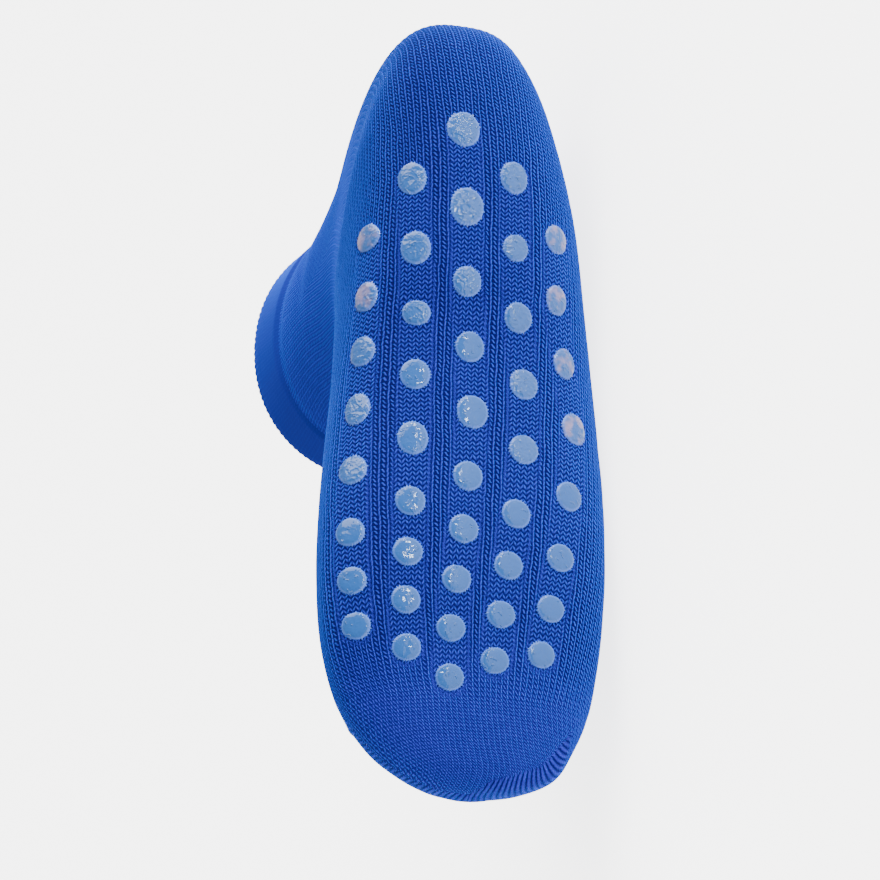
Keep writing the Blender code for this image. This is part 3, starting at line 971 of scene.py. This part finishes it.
def knit_material(name, look):
    """Blue yarn in rows of stitches, one slanted and one upright strand to each wale."""
    colours = bpy.context.scene.knit_colours
    surface = Surface(name)
    kinds = [surface.attribute(key) for key in ("patch", "fine", "soft", "band")]
    _, fine, soft, band = kinds
    wale, course = stitch_place(surface)
    strand = strand_height(surface, wale, course, kinds)

    # Painted shade: the yarn is painted darker between the strands as deep as this says, less on the toe and
    # the leg
    depth = (fine * -0.16 + soft * -0.58 + band * 0.30 + 1.0) * look.contrast
    vary = stitch_chance(surface, wale, course) * depth * 0.30 + 1.0
    # Where the painted shade is shallow the yarn sits at a middle tone, lifted on the leg partly for its
    # fuzzier knit and partly as painted light, and on the toe as painted light
    shallow = (depth * -1.0 + 1.0) * (soft * 0.30 + fine * 0.22 + 0.45)
    bright = (strand * depth + shallow) * vary + surface.drift(35.0) * 0.10
    yarn = [part * look.gain for part in colours.yarn]
    shade = surface.blend(colours.shadow, yarn, bright)

    # Painted light: the toe's yarn is made lighter where the lamps leave its end dark; the leg's partly for
    # its looser, fuzzier knit and partly as painted light from the heel's side
    lighter = surface.new("ShaderNodeCombineXYZ")
    for axis, (on_leg, on_toe) in enumerate(zip(LEG_FUZZ_AND_PAINTED_LIGHT, TOE_PAINTED_LIGHT)):
        surface.link((soft * on_leg + fine * on_toe + 1.0).socket, lighter.inputs[axis])
    brightened = surface.new("ShaderNodeVectorMath")
    brightened.operation = "MULTIPLY"
    surface.link(shade, brightened.inputs[0])
    surface.link(lighter.outputs[0], brightened.inputs[1])
    surface.link(brightened.outputs[0], surface.shader.inputs["Base Color"])

    fibre = surface.drift(2600.0, 3.0) * 0.25
    surface.emboss(strand * depth + fibre, look.bump, STITCH_BUMP, "Normal")
    return surface.finish({"Roughness": 0.85, "Specular IOR Level": 0.02, "Sheen Weight": look.sheen,
                           "Sheen Roughness": 0.35, "Sheen Tint": (*SHEEN_TINT, 1.0)})


def gel_material(name, crinkle, pink_reflection_share):
    """Clear grey gel printed on the blue knit, glossy and a little uneven, on some drops with a pinkish
    reflection painted in patches.
    """
    surface = Surface(name)
    gel = np.array(bpy.context.scene.knit_colours.gel)
    # Painted reflection: a pinkish reflection painted into the gel's colour, in patches
    rosy = (gel + np.array(PINK_REFLECTION_COLOUR)) / 2.0
    body = surface.blend(gel, rosy, surface.noise(260.0).fade(0.45, 0.7) * pink_reflection_share)
    edge = surface.attribute("edge").fade(0.80, 0.98) * 0.7
    surface.link(surface.blend(body, FRINGE, edge), surface.shader.inputs["Base Color"])

    folds = (surface.noise(430.0, 1.0).away(0.5) * -4.0 + surface.noise(1100.0) * 0.5) * crinkle
    pits = surface.noise(620.0, 1.0).fade(0.64, 0.72) * 0.35
    surface.emboss(folds + pits, 1.0, GEL_BUMP, "Normal", "Coat Normal")
    return surface.finish({"Roughness": 0.45, "Coat Weight": 0.33 + 0.35 * crinkle,
                           "Coat Roughness": 0.05, "Specular IOR Level": 0.06})


KNIT = {}


def knit():
    """The knit's grid, worked out once."""
    if "grid" not in KNIT:
        KNIT["grid"] = Knit()
    return KNIT["grid"]


def add_knit_part(name, first, last, square=None):
    """One part of the outer skin, from one ring to another."""
    grid = knit()
    material = bpy.data.materials.get("whole_knit") or knit_material("whole_knit", WHOLE_KNIT)
    rows = slice(first, last + 1)
    fields = {key: values[rows] for key, values in grid.fields.items()}
    stitches = (grid.wale[rows], grid.course[rows])
    thing = fill_mesh(name, grid.points[rows], grid.shading[rows], stitches, fields, square)
    thing.data.materials.append(material)
    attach(thing, "root")
    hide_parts("sock_knit")
    return thing


def close_tip(thing, columns):
    """Close the last small opening at the toe tip."""
    bpy.ops.object.select_all(action="DESELECT")
    bpy.context.view_layer.objects.active = thing
    thing.select_set(True)
    for vertex in thing.data.vertices:
        vertex.select = vertex.index < columns
    for edge in thing.data.edges:
        edge.select = edge.vertices[0] < columns and edge.vertices[1] < columns
    for polygon in thing.data.polygons:
        polygon.select = False
    bpy.ops.object.mode_set(mode="EDIT")
    bpy.ops.mesh.select_mode(type="EDGE")
    bpy.ops.mesh.edge_face_add()
    bpy.ops.object.mode_set(mode="OBJECT")


class SOCK_OT_toe(bpy.types.Operator):
    """Knit the toe pocket"""

    bl_idname = "sock.toe"
    bl_label = "Toe Pocket"

    def execute(self, context):
        grid = knit()
        end = grid.place_index(TOE_END)
        in_band = grid.band[:end + 1] > 0.0
        square = [in_band] + [np.vstack([part, part[-1:]]) for part in grid.square]
        toe = add_knit_part("sock_toe", 0, end, square)
        close_tip(toe, grid.columns)
        return {"FINISHED"}


class SOCK_OT_foot(bpy.types.Operator):
    """Knit the sole and the instep"""

    bl_idname = "sock.foot"
    bl_label = "Foot"

    def execute(self, context):
        grid = knit()
        add_knit_part("sock_foot", grid.place_index(TOE_END), grid.place_index(FOOT_END))
        return {"FINISHED"}


class SOCK_OT_heel(bpy.types.Operator):
    """Knit the turned heel and the leg up to the cuff"""

    bl_idname = "sock.heel"
    bl_label = "Heel and Leg"

    def execute(self, context):
        grid = knit()
        add_knit_part("sock_heel", grid.place_index(FOOT_END), grid.place_index(HEEL_END))
        add_knit_part("sock_leg", grid.place_index(HEEL_END), cuff_ring(grid))
        return {"FINISHED"}


class SOCK_OT_cuff(bpy.types.Operator):
    """Knit the doubled welt with its rolled rim, and the inner side of the sock"""

    bl_idname = "sock.cuff"
    bl_label = "Cuff and Inside"

    def execute(self, context):
        grid = knit()
        cut = cuff_ring(grid)
        for piece in (knit_welt(grid, cut), knit_inside(grid, cut)):
            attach(piece, "root")
            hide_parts("sock_knit")
        return {"FINISHED"}


def cuff_ring(grid):
    """The ring at the groove, where the leg ends and the welt starts."""
    return int(np.searchsorted(grid.walked, grid.groove))


def knit_welt(grid, cut):
    """The doubled welt: its outer side, the fold at the rim and its inner side in one strip."""
    outer = grid.points[cut:]
    ahead = outer[-1] - outer[-3]
    ahead /= np.linalg.norm(ahead, axis=1)[:, None]
    out = grid.shading[-1]
    half = (grid.sizes.wall + FOLD_SLACK) / 2.0
    angles = np.radians(FOLD_ANGLES)
    fold = [outer[-1] + half * ((math.cos(angle) - 1.0) * out + math.sin(angle) * ahead) for angle in angles]
    plain_normal = outward(grid.laid_plain)[cut:]
    inner = grid.laid_plain[cut:] - plain_normal * grid.sizes.wall
    points = np.concatenate([outer, np.array(fold), inner[::-1][1:]])
    fold_normal = [math.cos(angle) * out + math.sin(angle) * ahead for angle in angles]
    normals = np.concatenate([grid.shading[cut:], np.array(fold_normal), -outward(inner[::-1][1:])])
    fields = {"soft": np.ones(points.shape[:2])}
    welt = fill_mesh("sock_welt", points, normals, welt_stitches(grid, points), fields)
    welt.data.materials.append(knit_material("welt_knit", WELT_KNIT))
    return welt


def welt_stitches(grid, points):
    """Wale and course of the welt, whose rows run on over the fold."""
    share = np.linspace(0.0, 1.0, grid.columns + 1)
    wale = np.tile(share * grid.sizes.wales, (len(points), 1))
    steps = np.linalg.norm(np.diff(points, axis=0), axis=2).mean(axis=1)
    course = np.concatenate([[0.0], np.cumsum(steps)])[:, None] / COURSE_HEIGHTS[-1]
    return wale, np.repeat(course, grid.columns + 1, axis=1)


def knit_inside(grid, cut):
    """The inner side of the foot and the leg, one wall inwards."""
    rings = slice(INSIDE_FIRST, cut + 2, INSIDE_RINGS)
    depth = grid.sizes.wall - INSIDE_OVERLAP
    inside = (grid.laid_plain - outward(grid.laid_plain) * depth)[rings, ::INSIDE_COLUMNS]
    stitches = (grid.wale[rings, ::INSIDE_COLUMNS], grid.course[rings, ::INSIDE_COLUMNS])
    within = fill_mesh("sock_inside", inside, -outward(inside), stitches, {})
    within.data.materials.append(knit_material("inner_knit", INNER_KNIT))
    return within


class SOCK_OT_dots(bpy.types.Operator):
    """Print the drops of gel on the sole"""

    bl_idname = "sock.dots"
    bl_label = "Grip Dots"

    def execute(self, context):
        grid = knit()
        skin = plain_skin(grid)
        flat = gel_material("gel_flat", 0.10, 0.0)
        crinkled = gel_material("gel_crinkled", 0.34, 0.0)
        # Gel with a pinkish reflection painted into its colour
        rosy = gel_material("gel_rosy", 0.34, 0.9)
        drop = model_drop(context.scene.grip_sizes)
        for name, place, share, column, number in grid.dots:
            material = flat
            if number <= column.crinkled:
                material = crinkled
            if number <= column.rosy:
                material = rosy
            rng = np.random.default_rng(sum(ord(letter) for letter in name) * 7 + number)
            middle = Vector(grid.pose.lay(grid.sole_point(place, share)))
            seat = (skin.find_nearest(middle)[0], ring_normal(grid, middle))
            thing = seat_drop(drop, name, seat, skin, drop_spread(name, place), uneven_edge(rng))
            thing.data.materials.append(material)
            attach(thing, "root")
            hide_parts(name)
        bpy.data.objects.remove(drop)
        return {"FINISHED"}


def drop_spread(name, place):
    """How long and how wide a drop is, as shares of the plain one."""
    own = DROP_SPREADS.get(name, PLAIN_SPREAD)
    return DropSpread(own.long * np.interp(place, DOT_STATIONS, DROPS_LONG),
                      own.wide * np.interp(place, DOT_STATIONS, DROPS_WIDE))


def plain_skin(grid):
    """The sole's plain form, without the relief of the stitches, to seat the gel on."""
    last = grid.place_index(SOLE_END)
    points = grid.laid_plain[len(TIP_SHARES):last:2, ::4]
    faces = ring_corners(*points.shape[:2]).reshape(-1, 4)
    return BVHTree.FromPolygons([tuple(point) for point in points.reshape(-1, 3)], faces.tolist())


def ring_normal(grid, spot):
    """Normal of the plain form nearest to a spot."""
    last = grid.place_index(SOLE_END)
    far = np.linalg.norm(grid.laid_plain[:last] - np.array(spot), axis=2)
    row, column = np.unravel_index(np.argmin(far), far.shape)
    normal = outward(grid.laid_plain[row - 1:row + 2])[1, column]
    middle = grid.laid_plain[row].mean(axis=0)
    if normal @ (grid.laid_plain[row, column] - middle) < 0.0:
        normal = -normal
    return Vector(normal)


def model_drop(grips):
    """One round drop of gel with a steep edge and a flat top, to copy to every place."""
    radius = grips.diameter / 2.0
    bpy.ops.object.select_all(action="DESELECT")
    bpy.ops.mesh.primitive_circle_add(vertices=DROP_SIDES, radius=radius, fill_type="NGON")
    drop = bpy.context.object
    bpy.ops.object.mode_set(mode="EDIT")
    bpy.ops.mesh.select_all(action="SELECT")
    for step in DROP_STEPS:
        bpy.ops.mesh.inset(thickness=step.inward * radius)
        bpy.ops.transform.translate(value=(0.0, 0.0, step.up * grips.rise))
    bpy.ops.mesh.poke()
    bpy.ops.object.mode_set(mode="OBJECT")
    return drop


def uneven_edge(rng):
    """Reach of a drop's edge at every side: slow waves, and spikes where gel has soaked into the yarn."""
    angles = np.linspace(0.0, 2.0 * math.pi, DROP_SIDES, endpoint=False)
    edge = np.ones(DROP_SIDES)
    for wave in range(2, 7):
        edge += EDGE_WAVE / wave * rng.normal() * np.cos(wave * angles + rng.uniform(0.0, 2.0 * math.pi))
    spikes = np.arange(DROP_SIDES) % SPIKE_SIDES == 0
    return edge + EDGE_SPIKE * rng.random(DROP_SIDES) ** 1.5 * spikes


def seat_drop(drop, name, seat, skin, spread, edge):
    """A copy of the drop on the sole, drawn out and with its own uneven edge."""
    hit, normal = seat
    ahead = Vector((-1.0, 0.0, 0.0))
    ahead = (ahead - normal * ahead.dot(normal)).normalized()
    across = normal.cross(ahead)
    radius = bpy.context.scene.grip_sizes.diameter / 2.0
    thing = drop.copy()
    thing.data = drop.data.copy()
    thing.name = thing.data.name = name + "_gel"
    bpy.context.scene.collection.objects.link(thing)
    reach = []
    for vertex in thing.data.vertices:
        x, y, rise = vertex.co
        share = math.hypot(x, y) / radius
        side = round(math.atan2(y, x) / (2.0 * math.pi) * DROP_SIDES) % DROP_SIDES
        wider = 1.0 + (edge[side] - 1.0) * share ** 4
        spot = hit + (ahead * x * spread.long + across * y * spread.wide) * wider
        below = skin.ray_cast(spot + normal * SKIN_SEARCH, -normal)[0]
        if below is None:
            below = spot
        vertex.co = spot + normal * ((below - spot).dot(normal) + rise - DROP_SINK)
        reach.append(share)
    add_values(thing.data, "edge", reach)
    thing.data.polygons.foreach_set("use_smooth", np.ones(len(thing.data.polygons), dtype=bool))
    return thing


class SOCK_OT_stage(bpy.types.Operator):
    """Lay the pale floor and set the lights and the camera"""

    bl_idname = "sock.stage"
    bl_label = "Stage"

    def execute(self, context):
        lay_floor(context.scene.stage_settings)
        light_scene(context.scene.stage_settings)
        set_camera()
        return {"FINISHED"}


def lay_floor(settings):
    """A plain white floor that glows a little, as a light table does."""
    bpy.ops.object.select_all(action="DESELECT")
    bpy.ops.mesh.primitive_plane_add(size=settings.floor_size, location=FLOOR_MIDDLE)
    floor = bpy.context.object
    floor.name = "floor"
    bpy.ops.object.transform_apply(location=True)
    material = bpy.data.materials.new("pale_floor")
    material.use_nodes = True
    shader = material.node_tree.nodes["Principled BSDF"]
    shader.inputs["Base Color"].default_value = (0.93, 0.93, 0.93, 1.0)
    shader.inputs["Roughness"].default_value = 0.9
    shader.inputs["Specular IOR Level"].default_value = 0.1
    shader.inputs["Emission Color"].default_value = (1.0, 1.0, 1.0, 1.0)
    shader.inputs["Emission Strength"].default_value = settings.floor_glow
    floor.data.materials.append(material)


def light_scene(settings):
    """Even light all round, one wide soft light from the heel's side and small lights for the glints."""
    world = bpy.data.worlds.new("soft_daylight")
    world.use_nodes = True
    background = world.node_tree.nodes["Background"]
    background.inputs["Color"].default_value = (1.0, 1.0, 1.0, 1.0)
    background.inputs["Strength"].default_value = settings.daylight
    bpy.context.scene.world = world
    bpy.ops.object.light_add(type="SUN", location=(0.6, -0.2, 1.2))
    overhead = bpy.context.object
    overhead.name = "overhead_light"
    overhead.data.energy = settings.overhead
    overhead.data.angle = math.radians(OVERHEAD_WIDTH)
    overhead.rotation_euler = Vector(OVERHEAD_RUN).to_track_quat("-Z", "Y").to_euler()
    for number, place in enumerate(GLINT_PLACES):
        bpy.ops.object.light_add(type="AREA", location=place)
        light = bpy.context.object
        light.name = light.data.name = f"glint_light_{number}"
        light.data.shape = "SQUARE"
        light.data.size = GLINT_SIZE
        light.data.energy = GLINT_POWER
        light.data.color = GLINT_COLOUR
        light.rotation_euler = (Vector(GLINT_AIM) - Vector(place)).to_track_quat("-Z", "Y").to_euler()


def set_camera():
    """The photo's camera."""
    turn = tuple(math.radians(angle) for angle in CAMERA_TURN)
    bpy.ops.object.camera_add(location=CAMERA_PLACE, rotation=turn)
    camera = bpy.context.object
    camera.name = "photo_camera"
    camera.data.lens = CAMERA_LENS
    camera.data.sensor_width = 36.0
    camera.data.shift_x, camera.data.shift_y = CAMERA_SHIFT
    bpy.context.scene.camera = camera


class SOCK_PT_panel(bpy.types.Panel):
    """Sizes, colours and parts of the slipper sock"""

    bl_idname = "SOCK_PT_panel"
    bl_label = "Slipper Sock"
    bl_space_type = "VIEW_3D"
    bl_region_type = "UI"
    bl_category = "Slipper Sock"

    def draw(self, context):
        layout = self.layout
        for settings in (context.scene.sock_sizes, context.scene.knit_colours,
                         context.scene.grip_sizes, context.scene.stage_settings):
            box = layout.box()
            for key in settings.__annotations__:
                box.prop(settings, key)
        for operator in OPERATORS:
            layout.operator(operator.bl_idname)


SETTINGS = (("sock_sizes", SockSizes), ("knit_colours", KnitColours),
            ("grip_sizes", GripSizes), ("stage_settings", StageSettings))
OPERATORS = (SOCK_OT_toe, SOCK_OT_foot, SOCK_OT_heel, SOCK_OT_cuff, SOCK_OT_dots, SOCK_OT_stage)


def register():
    for name, group in SETTINGS:
        bpy.utils.register_class(group)
        setattr(bpy.types.Scene, name, PointerProperty(type=group))
    for operator in OPERATORS:
        bpy.utils.register_class(operator)
    bpy.utils.register_class(SOCK_PT_panel)


def unregister():
    bpy.utils.unregister_class(SOCK_PT_panel)
    for operator in reversed(OPERATORS):
        bpy.utils.unregister_class(operator)
    for name, group in reversed(SETTINGS):
        delattr(bpy.types.Scene, name)
        bpy.utils.unregister_class(group)


def main():
    register()
    bpy.ops.sock.toe()
    bpy.ops.sock.foot()
    bpy.ops.sock.heel()
    bpy.ops.sock.cuff()
    bpy.ops.sock.dots()
    bpy.ops.sock.stage()


if __name__ == "__main__":
    main()
